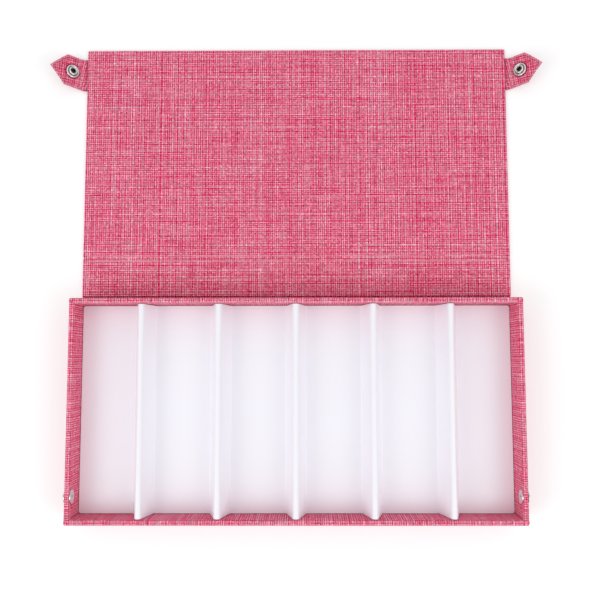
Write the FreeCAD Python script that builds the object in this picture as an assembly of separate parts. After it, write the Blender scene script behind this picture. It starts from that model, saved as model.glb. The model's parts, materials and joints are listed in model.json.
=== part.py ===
import FreeCAD, Part
import math
import os

Vector = FreeCAD.Vector

# Cloth-covered bobbin box, open: a tray on the base panel of a hinged case whose spine and lid lie
# flat behind it. Millimetres, +Z up, +Y towards the lid. The origin is the middle of the tray's
# footprint on the underside of the base cloth.

# Tray
TRAY_WIDTH = 305.0
TRAY_DEPTH = 150.0
RIM_HEIGHT = 26.0
WALL_BOARD = 2.7
FLOOR_BOARD = 3.0

# Case panels: base, spine and lid
CLOTH = 0.5
CASE_BOARD = 1.6
CASE_SIDE_INSET = 1.5
CASE_FRONT_INSET = 1.2
TURN_IN = 3.0
EDGE_ROUND = 0.8
CORNER_ROUND = 1.0

# Cloth folds that act as hinges
CLOSING_GAP = 0.2
FOLD_GAP = 0.3

# Divider insert
SHEET = 0.6
INSERT_GAP = 0.4
ROWS = 6
RIDGE_BASE = 15.4
RIDGE_BELOW_RIM = 1.0
RIDGE_TOP_RADIUS = 2.3
RIDGE_FOOT_RADIUS = 1.2
INSERT_CORNER_ROUND = 1.5

# Tabs
TAB_WIDTH = 23.0
TAB_LENGTH = 23.0
TAB_SHOULDER = 11.4
TAB_FROM_LID_FRONT = 17.6
TAB_ROOT_DEPTH = 12.0
TAB_LEAN = 7.0
TAB_REST_ANGLE = 38.0
SOCKET_FROM_FOLD = 6.4
TAB_CORNER_ROUND = 0.8

# Snap fasteners
FLANGE_RADIUS = 4.75
FLANGE = 0.4
STUD_NECK_RADIUS = 1.5
STUD_HEAD_RADIUS = 1.75
STUD_HEAD = 0.45
STUD_TIP_RADIUS = 1.1
RIVET_RADIUS = 1.1
RIVET_WALL = 0.3
RIVET_FIT = 0.05
RIVET_ROLL = 0.2
SOCKET_HEIGHT = 2.2
SOCKET_HUB_WALL = 1.25
SOCKET_BASE = 0.25
SOCKET_RIM = 1.2
SOCKET_RIM_HEIGHT = 0.7
SOCKET_LIP = 0.4
SNAP_FIT = 0.2
SNAP_SEAT_GAP = 0.15
SPRING_WIRE = 0.5
SPRING_WIRE_SIDES = 6
SPRING_FIT = 0.1
SPRING_DEPTH = 0.8
SPRING_OPENING_ANGLE = 50.0
CAP_RADIUS = 4.9
CAP_TOP_RADIUS = 3.4
CAP_HEIGHT = 0.7

# Sizes that follow from the above
WALL = WALL_BOARD + 2 * CLOTH
PANEL = CASE_BOARD + 2 * CLOTH
BOARD_TOP = CLOTH + CASE_BOARD
CASE_HALF = TRAY_WIDTH / 2 - CASE_SIDE_INSET
INNER_HALF_WIDTH = TRAY_WIDTH / 2 - WALL
INNER_HALF_DEPTH = TRAY_DEPTH / 2 - WALL
FOLD_AXIS_Z = CLOTH / 2
FOLD_EDGE = CLOTH / 2 + FOLD_GAP
FOLDED_THICKNESS = PANEL - FOLD_AXIS_Z + CLOSING_GAP
SPINE_FOLD_Y = TRAY_DEPTH / 2 + FOLDED_THICKNESS
SPINE_SPAN = RIM_HEIGHT + FOLDED_THICKNESS - FOLD_AXIS_Z
LID_FOLD_Y = SPINE_FOLD_Y + SPINE_SPAN
LID_SPAN = SPINE_FOLD_Y + TRAY_DEPTH / 2 - CASE_FRONT_INSET
LID_FRONT_Y = LID_FOLD_Y + LID_SPAN
FLOOR_TOP = BOARD_TOP + FLOOR_BOARD
INSERT_TOP = FLOOR_TOP + SHEET
TAB_FOLD_X = TRAY_WIDTH / 2 + FLANGE + SNAP_SEAT_GAP + SOCKET_HEIGHT + CLOTH
TAB_FOLD_Z = BOARD_TOP - CLOTH
TAB_Y = LID_FRONT_Y - TAB_FROM_LID_FRONT
TAB_ROOT_HALF = TAB_WIDTH / 2 / math.cos(math.radians(TAB_LEAN))
SOCKET_OUT = SOCKET_FROM_FOLD * math.cos(math.radians(TAB_LEAN))
SOCKET_ALONG = SOCKET_FROM_FOLD * math.sin(math.radians(TAB_LEAN))
STUD_Y = SPINE_FOLD_Y - (TAB_Y + SOCKET_ALONG - LID_FOLD_Y)
STUD_Z = 2 * FOLD_AXIS_Z + SPINE_SPAN - TAB_FOLD_Z - SOCKET_OUT
SHANK_HOLE = RIVET_RADIUS - RIVET_WALL
SHANK_FIT = RIVET_RADIUS + RIVET_FIT
SPRING_INNER = STUD_NECK_RADIUS + SPRING_FIT
STUD_NECK_TOP = FLANGE + SNAP_SEAT_GAP + SPRING_DEPTH + SPRING_WIRE / 2 + RIVET_FIT
STUD_BORE_TOP = STUD_NECK_TOP - RIVET_WALL

TOLERANCE = 1e-4


def near(a, b):
    return abs(a - b) < TOLERANCE


def block(x_range, y_range, z_range):
    size = [high - low for low, high in (x_range, y_range, z_range)]
    return Part.makeBox(*size, Vector(x_range[0], y_range[0], z_range[0]))


def edges_where(shape, test):
    """Edges of a shape whose middle point passes the test."""
    return [edge for edge in shape.Edges if test(edge.CenterOfMass)]


def vertical_edges_at(shape, x_half, y):
    return edges_where(shape, lambda p: near(abs(p.x), x_half) and near(p.y, y))


def lathe(*profile, turn=360):
    """Solid of revolution about Z of a closed outline of (radius, height) points."""
    points = [Vector(radius, 0, height) for radius, height in profile + profile[:1]]
    face = Part.Face(Part.makePolygon(points))
    return face.revolve(Vector(0, 0, 0), Vector(0, 0, 1), turn)


# Tray walls: a board with cloth over its outside, rim and inside

def end_wall_block(side, inset):
    """Front (side -1) or back (side +1) wall, full width, drawn in by inset on every covered face."""
    x_half = TRAY_WIDTH / 2 - inset
    y_range = sorted((side * (TRAY_DEPTH / 2 - inset), side * (INNER_HALF_DEPTH + inset)))
    return block((-x_half, x_half), y_range, (BOARD_TOP, RIM_HEIGHT - inset))


def side_wall_block(side, inset):
    """Left (side -1) or right (side +1) wall, fitted between the front and back walls."""
    x_range = sorted((side * (TRAY_WIDTH / 2 - inset), side * (INNER_HALF_WIDTH + inset)))
    return block(x_range, (-INNER_HALF_DEPTH, INNER_HALF_DEPTH), (BOARD_TOP, RIM_HEIGHT - inset))


def end_wall(side):
    board = end_wall_block(side, CLOTH)
    cover = end_wall_block(side, 0)
    corners = vertical_edges_at(cover, TRAY_WIDTH / 2, side * TRAY_DEPTH / 2)
    cover = cover.makeFillet(CORNER_ROUND, corners)
    rim = edges_where(cover, lambda p: near(p.z, RIM_HEIGHT))
    return board, cover.makeFillet(EDGE_ROUND, rim).cut(board)


def side_wall(side):
    board = side_wall_block(side, CLOTH)
    cover = side_wall_block(side, 0)
    rim = edges_where(cover, lambda p: near(p.z, RIM_HEIGHT) and near(p.y, 0))
    cover = cover.makeFillet(EDGE_ROUND, rim).cut(board)
    start = Vector(side * INNER_HALF_WIDTH, STUD_Y, STUD_Z)
    rivet_hole = Part.makeCylinder(SHANK_FIT, WALL, start, Vector(side, 0, 0))
    return board.cut(rivet_hole), cover.cut(rivet_hole)


def tray_floor():
    return block((-INNER_HALF_WIDTH, INNER_HALF_WIDTH), (-INNER_HALF_DEPTH, INNER_HALF_DEPTH),
                 (BOARD_TOP, FLOOR_TOP))


# Case panels: a board with cloth round its free edges, and a fold where two panels meet

def panel_block(y_range, z_range, inset, free_ends=()):
    """Flat panel, drawn in by inset at the sides and at its free ends."""
    x_half = CASE_HALF - inset
    ends = [y + (inset if y == y_range[0] else -inset) if y in free_ends else y for y in y_range]
    return block((-x_half, x_half), ends, z_range)


def panel_board(y_range, free_ends=()):
    return panel_block(y_range, (CLOTH, BOARD_TOP), CLOTH, free_ends)


def panel_cover(y_range, top, rounded_levels, free_ends=()):
    """Cloth round a panel's board, with its corners and its outer edges rounded where it turns over."""
    cover = panel_block(y_range, (0, top), 0)
    for y in free_ends:
        cover = cover.makeFillet(CORNER_ROUND, vertical_edges_at(cover, CASE_HALF, y))

    def on_free_edge(p):
        level = any(near(p.z, z) for z in rounded_levels)
        return level and (near(abs(p.x), CASE_HALF) or any(near(p.y, y) for y in free_ends))

    if rounded_levels:
        cover = cover.makeFillet(EDGE_ROUND, edges_where(cover, on_free_edge))
    return cover.cut(panel_board(y_range, free_ends))


def panel_lining(y_range, free_ends=()):
    """Lining sheet, let in flush with the turned-in cloth round it."""
    return panel_block(y_range, (BOARD_TOP, PANEL), TURN_IN, free_ends)


def fold_strip(y_range):
    """Outer cloth alone, where it crosses from one board to the next."""
    return block((-CASE_HALF, CASE_HALF), y_range, (0, CLOTH))


def fold_bead(y):
    """Rounded edge of the cloth on a fold's axis."""
    start = Vector(-CASE_HALF, y, FOLD_AXIS_Z)
    return Part.makeCylinder(CLOTH / 2, 2 * CASE_HALF, start, Vector(1, 0, 0))


def base_panel():
    front = -TRAY_DEPTH / 2 + CASE_FRONT_INSET
    back = TRAY_DEPTH / 2
    y_range = (front, back)
    cover = panel_cover(y_range, BOARD_TOP, (), (front,))
    cover = cover.fuse(fold_strip((back, SPINE_FOLD_Y - FOLD_EDGE)))
    return panel_board(y_range, (front,)), cover.removeSplitter()


def spine_panel():
    end = LID_FOLD_Y - FOLDED_THICKNESS
    y_range = (SPINE_FOLD_Y + FOLD_EDGE, end)
    lining = panel_lining(y_range)
    cover = panel_cover(y_range, PANEL, (0, PANEL)).cut(lining)
    cover = cover.fuse([fold_bead(SPINE_FOLD_Y), fold_strip((SPINE_FOLD_Y, y_range[0])),
                        fold_strip((end, LID_FOLD_Y - FOLD_EDGE))])
    return panel_board(y_range), cover.removeSplitter(), lining


def lid_panel(tab_roots):
    y_range = (LID_FOLD_Y + FOLD_EDGE, LID_FRONT_Y)
    front = (LID_FRONT_Y,)
    lining = panel_lining(y_range, front)
    cover = panel_cover(y_range, PANEL, (0, PANEL), front).cut(lining).cut(tab_roots)
    cover = cover.fuse([fold_bead(LID_FOLD_Y), fold_strip((LID_FOLD_Y, y_range[0]))])
    return panel_board(y_range, front).cut(tab_roots), cover.removeSplitter(), lining


# Divider insert: one formed sheet with hollow ridges between the rows

def ridge_arcs(depth):
    """Half profile of a ridge at a depth under its upper skin, from its crest line outwards."""
    height = RIM_HEIGHT - RIDGE_BELOW_RIM - INSERT_TOP
    crest = Vector(0, 0, height - RIDGE_TOP_RADIUS)
    foot = Vector(RIDGE_BASE / 2, 0, RIDGE_FOOT_RADIUS)
    between = foot - crest
    lean = math.acos((RIDGE_TOP_RADIUS + RIDGE_FOOT_RADIUS) / between.Length)
    angle = math.atan2(between.z, between.x) + lean
    normal = Vector(math.cos(angle), 0, math.sin(angle))
    foot_turn = (angle + math.radians(90)) / 2 + math.radians(180)
    foot_radius = RIDGE_FOOT_RADIUS + depth
    foot_middle = foot + Vector(math.cos(foot_turn), 0, math.sin(foot_turn)) * foot_radius
    return [Vector(0, 0, height - depth), crest + normal * (RIDGE_TOP_RADIUS - depth),
            foot - normal * foot_radius, foot_middle, foot - Vector(0, 0, foot_radius)]


def insert_skin(depth, half_width):
    """Upper (depth 0) or under side (depth SHEET) of the sheet, from left to right."""
    pitch = (2 * half_width + RIDGE_BASE) / ROWS
    profile = ridge_arcs(depth)
    here = Vector(-half_width, 0, -depth)
    edges = []
    for ridge in range(1, ROWS):
        middle = Vector(-half_width - RIDGE_BASE / 2 + ridge * pitch, 0, 0)
        top, flank, foot, foot_middle, floor = [middle + p for p in profile]
        left = [middle + Vector(-p.x, 0, p.z) for p in profile]
        edges += [Part.LineSegment(here, left[4]), Part.Arc(left[4], left[3], left[2]),
                  Part.LineSegment(left[2], left[1]), Part.Arc(left[1], top, flank),
                  Part.LineSegment(flank, foot), Part.Arc(foot, foot_middle, floor)]
        here = floor
    edges.append(Part.LineSegment(here, Vector(half_width, 0, -depth)))
    return [edge.toShape() for edge in edges]


def divider_insert():
    half_width = INNER_HALF_WIDTH - INSERT_GAP
    half_depth = INNER_HALF_DEPTH - INSERT_GAP
    outline = insert_skin(0, half_width) + insert_skin(SHEET, half_width)
    for x in (-half_width, half_width):
        outline.append(Part.LineSegment(Vector(x, 0, 0), Vector(x, 0, -SHEET)).toShape())
    section = Part.Face(Part.Wire(Part.__sortEdges__(outline)))
    section.translate(Vector(0, -half_depth, INSERT_TOP))
    sheet = section.extrude(Vector(0, 2 * half_depth, 0))
    corners = [edge for y in (-half_depth, half_depth) for edge in vertical_edges_at(sheet, half_width, y)]
    return sheet.makeFillet(INSERT_CORNER_ROUND, corners)


# Snap fasteners, turned about Z with z = 0 on the face that they are set on

def snap_stud():
    """Stud on a wall's outer face: flange, neck and a head that swells past the ring spring."""
    swell = STUD_HEAD_RADIUS - STUD_NECK_RADIUS
    tip = STUD_NECK_TOP + STUD_HEAD
    return lathe((SHANK_FIT, 0),
                 (FLANGE_RADIUS, 0),
                 (FLANGE_RADIUS, FLANGE),
                 (STUD_NECK_RADIUS, FLANGE),
                 (STUD_NECK_RADIUS, STUD_NECK_TOP - swell),
                 (STUD_HEAD_RADIUS, STUD_NECK_TOP),
                 (STUD_TIP_RADIUS, tip),
                 (0, tip),
                 (0, STUD_BORE_TOP),
                 (SHANK_FIT, STUD_BORE_TOP))


def stud_rivet():
    """Tubular rivet through a wall: its flange shows inside the tray, its shank ends in the stud."""
    face = -WALL - FLANGE
    shank_end = STUD_BORE_TOP - RIVET_FIT
    return lathe((SHANK_HOLE, face),
                 (FLANGE_RADIUS, face),
                 (FLANGE_RADIUS, -WALL),
                 (RIVET_RADIUS, -WALL),
                 (RIVET_RADIUS, shank_end),
                 (SHANK_HOLE, shank_end))


def snap_socket():
    """Socket on a tab's inner face: base with a raised rim, and a hub grooved for the ring spring."""
    bore = STUD_HEAD_RADIUS + SNAP_FIT
    hub = bore + SOCKET_HUB_WALL
    rim_inside = FLANGE_RADIUS - SOCKET_RIM
    groove = SPRING_INNER + SPRING_WIRE + 2 * SPRING_FIT
    groove_top = SOCKET_HEIGHT - SPRING_DEPTH + SPRING_WIRE / 2 + SPRING_FIT
    groove_bottom = groove_top - SPRING_WIRE - 2 * SPRING_FIT
    return lathe((SHANK_FIT, 0),
                 (FLANGE_RADIUS, 0),
                 (FLANGE_RADIUS, SOCKET_RIM_HEIGHT),
                 (rim_inside, SOCKET_RIM_HEIGHT),
                 (rim_inside, SOCKET_BASE),
                 (hub, SOCKET_BASE),
                 (hub, SOCKET_HEIGHT - SOCKET_LIP),
                 (hub - SOCKET_LIP, SOCKET_HEIGHT),
                 (bore, SOCKET_HEIGHT),
                 (bore, groove_top),
                 (groove, groove_top),
                 (groove, groove_bottom),
                 (bore, groove_bottom),
                 (bore, SOCKET_BASE),
                 (SHANK_FIT, SOCKET_BASE))


def ring_spring():
    """Open wire ring that sits in the socket's groove and closes round the stud's neck."""
    corners = []
    for side in range(SPRING_WIRE_SIDES):
        angle = 2 * math.pi * (side + 0.5) / SPRING_WIRE_SIDES
        radius = SPRING_INNER + SPRING_WIRE / 2 * (1 + math.cos(angle))
        corners.append((radius, SOCKET_HEIGHT - SPRING_DEPTH + SPRING_WIRE / 2 * math.sin(angle)))
    return lathe(*corners, turn=360 - SPRING_OPENING_ANGLE)


def snap_cap():
    """Raised cap on a tab's outer face, with a hollow shank rolled over inside the socket."""
    face = -2 * CLOTH
    roll = RIVET_RADIUS + RIVET_ROLL
    return lathe((SHANK_HOLE, face),
                 (SHANK_HOLE, SOCKET_BASE + RIVET_ROLL),
                 (roll, SOCKET_BASE + RIVET_ROLL),
                 (roll, SOCKET_BASE),
                 (RIVET_RADIUS, SOCKET_BASE),
                 (RIVET_RADIUS, face),
                 (CAP_RADIUS, face),
                 (CAP_TOP_RADIUS, face - CAP_HEIGHT),
                 (0, face - CAP_HEIGHT),
                 (0, face))


# Tabs, drawn flat to the right of the fold at x = 0 with the middle of their two plies at z = 0

def leaning(out, along):
    """Point of a tab, turned with the tab's lean about the middle of its root."""
    turn = FreeCAD.Rotation(Vector(0, 0, 1), TAB_LEAN)
    return turn.multVec(Vector(out, along, 0))


def tab_outline():
    half = TAB_WIDTH / 2
    root = Vector(0, TAB_ROOT_HALF, 0)
    tip = leaning(TAB_LENGTH, 0)
    points = [-root, leaning(TAB_SHOULDER, -half), tip, leaning(TAB_SHOULDER, half), root, -root]
    return Part.Face(Part.makePolygon(points))


def tab_ply(z):
    """One ply of a tab, with rounded corners at its point and a hole for the snap's shank."""
    ply = tab_outline().extrude(Vector(0, 0, CLOTH))
    upright = edges_where(ply, lambda p: near(p.z, CLOTH / 2) and p.x > TOLERANCE)
    ply = ply.makeFillet(TAB_CORNER_ROUND, upright)
    hole = Part.makeCylinder(SHANK_FIT, CLOTH, Vector(SOCKET_OUT, SOCKET_ALONG, 0))
    ply = ply.cut(hole)
    ply.translate(Vector(0, 0, z))
    return ply


def tab_outer_ply():
    """Outer ply, with the rounded fold that runs along the hinge axis."""
    bead = Part.makeCylinder(CLOTH, 2 * TAB_ROOT_HALF, Vector(0, -TAB_ROOT_HALF, 0), Vector(0, 1, 0))
    inner_space = block((0, CLOTH), (-TAB_ROOT_HALF, TAB_ROOT_HALF), (0, CLOTH))
    return tab_ply(-CLOTH).fuse(bead.cut(inner_space)).removeSplitter()


def tab_root():
    """End of the tab that is let into the lid's board and crosses to the fold."""
    lid_edge = TAB_FOLD_X - CASE_HALF
    return block((-lid_edge - TAB_ROOT_DEPTH, -CLOTH - FOLD_GAP), (-TAB_ROOT_HALF, TAB_ROOT_HALF),
                 (-CLOTH, CLOTH))


def set_on_tab(shape):
    shape.translate(Vector(SOCKET_OUT, SOCKET_ALONG, CLOTH))
    return shape


def mirrored(shape, side):
    return shape.mirror(Vector(0, 0, 0), Vector(1, 0, 0)) if side < 0 else shape


def place_tab_piece(shape, side, lift):
    shape.rotate(Vector(0, 0, 0), Vector(0, 1, 0), -lift)
    shape.translate(Vector(TAB_FOLD_X, TAB_Y, TAB_FOLD_Z))
    return mirrored(shape, side)


def place_on_wall(shape, side):
    shape.rotate(Vector(0, 0, 0), Vector(0, 1, 0), 90)
    shape.translate(Vector(TRAY_WIDTH / 2, STUD_Y, STUD_Z))
    return mirrored(shape, side)


def build():
    nodes = {}
    nodes["base_board"], nodes["base_cloth"] = base_panel()
    nodes["tray_floor_board"] = tray_floor()
    for name, side in (("front", -1), ("back", 1)):
        nodes[name + "_wall_board"], nodes[name + "_wall_cloth"] = end_wall(side)
    for name, side in (("left", -1), ("right", 1)):
        nodes[name + "_wall_board"], nodes[name + "_wall_cloth"] = side_wall(side)
        nodes[name + "_snap_stud"] = place_on_wall(snap_stud(), side)
        nodes[name + "_stud_rivet"] = place_on_wall(stud_rivet(), side)
        nodes[name + "_tab_root"] = place_tab_piece(tab_root(), side, 0)
        nodes[name + "_tab_outer_ply"] = place_tab_piece(tab_outer_ply(), side, TAB_REST_ANGLE)
        nodes[name + "_tab_inner_ply"] = place_tab_piece(tab_ply(0), side, TAB_REST_ANGLE)
        nodes[name + "_snap_socket"] = place_tab_piece(set_on_tab(snap_socket()), side, TAB_REST_ANGLE)
        nodes[name + "_ring_spring"] = place_tab_piece(set_on_tab(ring_spring()), side, TAB_REST_ANGLE)
        nodes[name + "_snap_cap"] = place_tab_piece(set_on_tab(snap_cap()), side, TAB_REST_ANGLE)
    nodes["divider_insert"] = divider_insert()
    nodes["spine_board"], nodes["spine_cloth"], nodes["spine_lining"] = spine_panel()
    roots = [nodes["left_tab_root"], nodes["right_tab_root"]]
    nodes["lid_board"], nodes["lid_cloth"], nodes["lid_lining"] = lid_panel(roots)
    return nodes


def main():
    os.makedirs("parts", exist_ok=True)
    for name, shape in build().items():
        shape.exportStep("parts/" + name + ".step")
        print(name, len(shape.Solids), shape.isValid(), round(shape.Volume, 2))
    print("spine fold", SPINE_FOLD_Y, FOLD_AXIS_Z, "lid fold", LID_FOLD_Y, "lid front", LID_FRONT_Y)
    print("tab fold", TAB_FOLD_X, TAB_FOLD_Z, TAB_Y, "stud", STUD_Y, STUD_Z)


main()
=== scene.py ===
import json
import math

import bmesh
import bpy
from bpy.props import FloatProperty, FloatVectorProperty, IntProperty, PointerProperty
from mathutils import Matrix, Vector, noise


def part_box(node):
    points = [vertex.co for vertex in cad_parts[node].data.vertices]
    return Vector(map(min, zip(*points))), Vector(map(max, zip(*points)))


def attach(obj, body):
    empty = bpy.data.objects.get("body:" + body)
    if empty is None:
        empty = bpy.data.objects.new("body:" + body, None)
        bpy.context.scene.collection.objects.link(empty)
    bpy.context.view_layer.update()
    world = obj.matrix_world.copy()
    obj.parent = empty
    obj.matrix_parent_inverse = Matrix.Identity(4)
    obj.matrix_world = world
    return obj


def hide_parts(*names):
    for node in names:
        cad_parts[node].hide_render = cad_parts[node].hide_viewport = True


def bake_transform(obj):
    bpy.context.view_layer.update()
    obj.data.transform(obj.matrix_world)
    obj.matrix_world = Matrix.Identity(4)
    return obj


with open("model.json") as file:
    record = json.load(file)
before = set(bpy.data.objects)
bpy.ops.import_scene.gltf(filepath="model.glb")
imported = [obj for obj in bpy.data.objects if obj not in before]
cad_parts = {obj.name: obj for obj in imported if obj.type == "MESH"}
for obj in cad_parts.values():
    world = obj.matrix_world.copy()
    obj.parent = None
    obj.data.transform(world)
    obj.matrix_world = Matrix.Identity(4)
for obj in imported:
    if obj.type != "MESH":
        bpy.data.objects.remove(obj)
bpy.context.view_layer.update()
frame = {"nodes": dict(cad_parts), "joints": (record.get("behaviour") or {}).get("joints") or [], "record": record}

bl_info = {
    "name": "Bobbin box",
    "version": (1, 0, 0),
    "blender": (4, 5, 0),
    "location": "3D View > Sidebar > Bobbin box",
    "description": "Cloth, ridged insert and snaps of a bobbin box, built round its packed frame",
    "category": "Object",
}

MM = 0.001
SIDES = (("left", -1), ("right", 1))
SHARP_ANGLE = math.radians(40)
UV_MAP = "Cloth"
# Wear of the cloth; the same attribute holds the painted highlight on the back rim's inner edge and the painted
# shade on the snaps
WEAR_AND_PAINTED_LIGHT = "wear"
# Painted shade on the tabs: a dark line along the seam, a painted shadow at the root and painted shade round the
# socket's flange
PAINTED_SHADE = "seam"
SEED_SKEW = 0.37
UPWARD = 0.5

# Fineness of the meshes
WALL_STEP = 2.5 * MM
RIM_STEP = 2.0 * MM
PANEL_STEP = 12 * MM
PANEL_EDGE_STEP = 6 * MM
FOLD_STEP = 0.2 * MM
DIP_STEP = 0.25 * MM
INSERT_STEP = 4 * MM
SAME_POINT = 0.001 * MM

# Depths in a socket's hub: under its top, to the spring's groove and its floor, and out into the groove
HUB_LIP = 0.45 * MM
GROOVE_FLOOR = 1.15 * MM
GROOVE_DEPTH = 0.35 * MM

# Shares of a yarn's tone that come from its own dye and from deep and pale yarns taking turns
WARP = {"dye_share": 0.25, "turn_share": 0.40, "seed": 3.0}
WEFT = {"dye_share": 0.12, "turn_share": 0.24, "seed": 41.0}


# Values that a user would change

def length(name, description, millimetres):
    return FloatProperty(name=name, description=description, default=millimetres * MM, min=0.0,
                         subtype="DISTANCE", unit="LENGTH", precision=5)


def colour(name, description, value):
    return FloatVectorProperty(name=name, description=description, default=value, min=0.0, max=1.0,
                               size=3, subtype="COLOR")


def share(name, description, value):
    return FloatProperty(name=name, description=description, default=value, min=0.0, max=1.0,
                         subtype="FACTOR")


def angle(name, description, radians):
    return FloatProperty(name=name, description=description, default=radians, subtype="ANGLE",
                         unit="ROTATION")


def power(name, description, watts):
    return FloatProperty(name=name, description=description, default=watts, min=0.0, unit="POWER")


def position(name, description, millimetres):
    return FloatVectorProperty(name=name, description=description, size=3, subtype="TRANSLATION",
                               unit="LENGTH", default=[value * MM for value in millimetres])


class ClothSettings(bpy.types.PropertyGroup):
    deep_yarn: colour("Deep yarn", "Colour of the crimson yarns", (0.70, 0.010, 0.104))
    pale_yarn: colour("Pale yarn", "Colour of the pale pink yarns", (0.84, 0.52, 0.62))
    yarn_pitch: length("Yarn pitch", "Distance from one yarn to the next", 0.74)
    slub_length: length("Slub length", "Length over which a yarn keeps its tone", 36.0)
    roughness: share("Roughness", "Roughness of the yarns", 0.85)
    thickness: length("Thickness", "Thickness of the cloth", 0.5)
    edge_round: length("Edge round", "Radius where the cloth turns over a board's edge", 1.0)
    rim_round: length("Rim round", "Radius where the cloth turns over a wall's rim", 1.6)
    fold_fill: length("Fold fill", "Height of the cloth in the groove behind the tray", 1.2)
    # Painted highlight: the back rim's inner edge is painted paler
    painted_rim_highlight: share("Rim wear", "Paleness of the back rim's rubbed inner edge", 0.6)
    corner_round: length("Corner round", "Radius of the walls' corners", 1.0)
    panel_corner: length("Panel corner", "Radius of the lid's and the base's corners", 0.4)
    rim_ripple: length("Rim ripple", "Unevenness of the cloth along the walls", 0.15)
    rivet_dimple: length("Rivet dimple", "Depth to which a rivet draws the wall's cloth in", 0.3)


class LiningSettings(bpy.types.PropertyGroup):
    thickness: length("Thickness", "Height of the lining over the turned-in cloth", 0.2)
    fold_dip: length("Fold dip", "Depth of the lining's dip at the lid's fold", 0.7)


class InsertSettings(bpy.types.PropertyGroup):
    sheet_colour: colour("Sheet", "Colour of the formed sheet", (0.945, 0.935, 0.99))
    roughness: share("Roughness", "Roughness of the sheet", 0.34)
    # Painted shade: the sheet's colour is greyed towards the ridges' crests
    painted_crest_shade: share("Crest shade", "Share of the light that the thin sheet of a crest sends back", 0.95)
    thickness: length("Thickness", "Thickness of the sheet", 0.6)
    crest_radius: length("Crest radius", "Radius of a ridge's crest", 2.3)
    foot_radius: length("Foot radius", "Radius at a ridge's foot", 1.2)
    corner_round: length("Corner round", "Radius of the sheet's corners", 1.5)
    warp: length("Warp", "Unevenness of the formed sheet", 0.12)


class TabSettings(bpy.types.PropertyGroup):
    seam: length("Seam", "Distance of the inner ply's edge from the tab's edge", 1.7)
    ply_step: length("Ply step", "Height of the inner ply's edge", 0.22)
    root: length("Root", "Length of the tab that runs into the lid", 7.0)
    root_shift: length("Root shift", "Root's shift from the fold's middle, away from the lid's front", 0.9)
    tip_shift: length("Tip shift", "Shift of the tip from the fold's middle, towards the lid's front", 2.0)
    bend: length("Bend", "Distance past the fold at which the bend ends", 1.4)
    press: length("Press", "Depth to which the socket's flange draws the cloth in", 0.15)
    # Painted shade round the socket's flange
    press_painted_shade: share("Press shade", "Darkness of the cloth round the socket's flange", 0.9)
    border_wear: share("Border wear", "Paleness of the worn border round a tab", 0.3)
    corner_round: length("Corner round", "Radius of the tab's corners", 0.6)


class SnapSettings(bpy.types.PropertyGroup):
    metal: colour("Metal", "Colour of the plated snaps", (0.80, 0.79, 0.775))
    spring: colour("Spring", "Colour of the wire spring", (0.55, 0.54, 0.52))
    # Painted shade: the sockets' bores are painted nearly black and their troughs partly darkened; the bore colour
    # is this painted shade
    trough_painted_shade: share("Trough shade", "Share of tarnish in the sockets' troughs", 0.6)
    bore: colour("Bore", "Colour of the tarnished bore", (0.035, 0.026, 0.022))
    roughness: share("Roughness", "Roughness of the plating", 0.14)
    rim_width: length("Rim width", "Width of the socket's rolled rim", 1.25)
    rim_height: length("Rim height", "Height of the socket's rolled rim", 0.8)
    base: length("Base", "Thickness of the socket's base", 0.25)
    hub_radius: length("Hub radius", "Radius of the socket's hub", 3.15)
    bore_radius: length("Bore radius", "Radius of the socket's bore", 1.95)
    neck_radius: length("Neck radius", "Radius of the stud's neck", 1.5)
    head_radius: length("Head radius", "Radius of the stud's head", 1.75)
    shank_radius: length("Shank radius", "Radius of the rivets' shanks", 1.1)
    shank_hole: length("Shank hole", "Radius of the hole in the shanks", 0.8)
    wire: length("Wire", "Thickness of the ring spring's wire", 0.5)
    flange: length("Flange", "Thickness of the stud's and rivet's flanges", 0.4)
    segments: IntProperty(name="Segments", description="Faces round a snap", default=72, min=12)


class StageSettings(bpy.types.PropertyGroup):
    floor: colour("Floor", "Colour of the floor as it lights the box", (0.80, 0.80, 0.80))
    world_strength: FloatProperty(name="Sky", description="Strength of the even light", default=0.735,
                                  min=0.0)
    horizon: share("Horizon", "Strength of the sky near the horizon as the metal mirrors it", 0.12)
    left_power: power("Left lamp", "Power of the left lamp in watts", 3.65)
    right_power: power("Right lamp", "Power of the right lamp in watts", 3.2)
    lamp_size: length("Lamp size", "Side of each soft lamp", 700.0)
    lamp_place: position("Lamp place", "Place of the right lamp, mirrored for the left", (820, -340, 790))
    camera_place: position("Camera", "Place of the camera", (6.3, 31.6, 506.7))
    camera_tilt: angle("Tilt", "Lean of the view from straight down towards the lid", 0.0863)
    camera_turn: angle("Turn", "Lean of the view towards the right", -0.007)
    camera_roll: angle("Roll", "Roll of the camera about its view", -0.0013)
    focal_share: FloatProperty(name="Focal share", description="Focal length over the width of the image",
                               default=1.2, min=0.1)


class BobbinBoxSettings(bpy.types.PropertyGroup):
    cloth: PointerProperty(type=ClothSettings)
    lining: PointerProperty(type=LiningSettings)
    insert: PointerProperty(type=InsertSettings)
    tab: PointerProperty(type=TabSettings)
    snap: PointerProperty(type=SnapSettings)
    stage: PointerProperty(type=StageSettings)


# Places that the frame gives

def joint(name):
    return next(j for j in frame["joints"] if j["name"] == name)


def fold_point(name):
    return Vector(joint(name)["pos_m"])


def tab_lift():
    """Angle at which a tab stands off the lid at rest."""
    return -math.radians(joint("right_tab_fold")["range_deg"][0])


# Outlines and swept meshes

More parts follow.
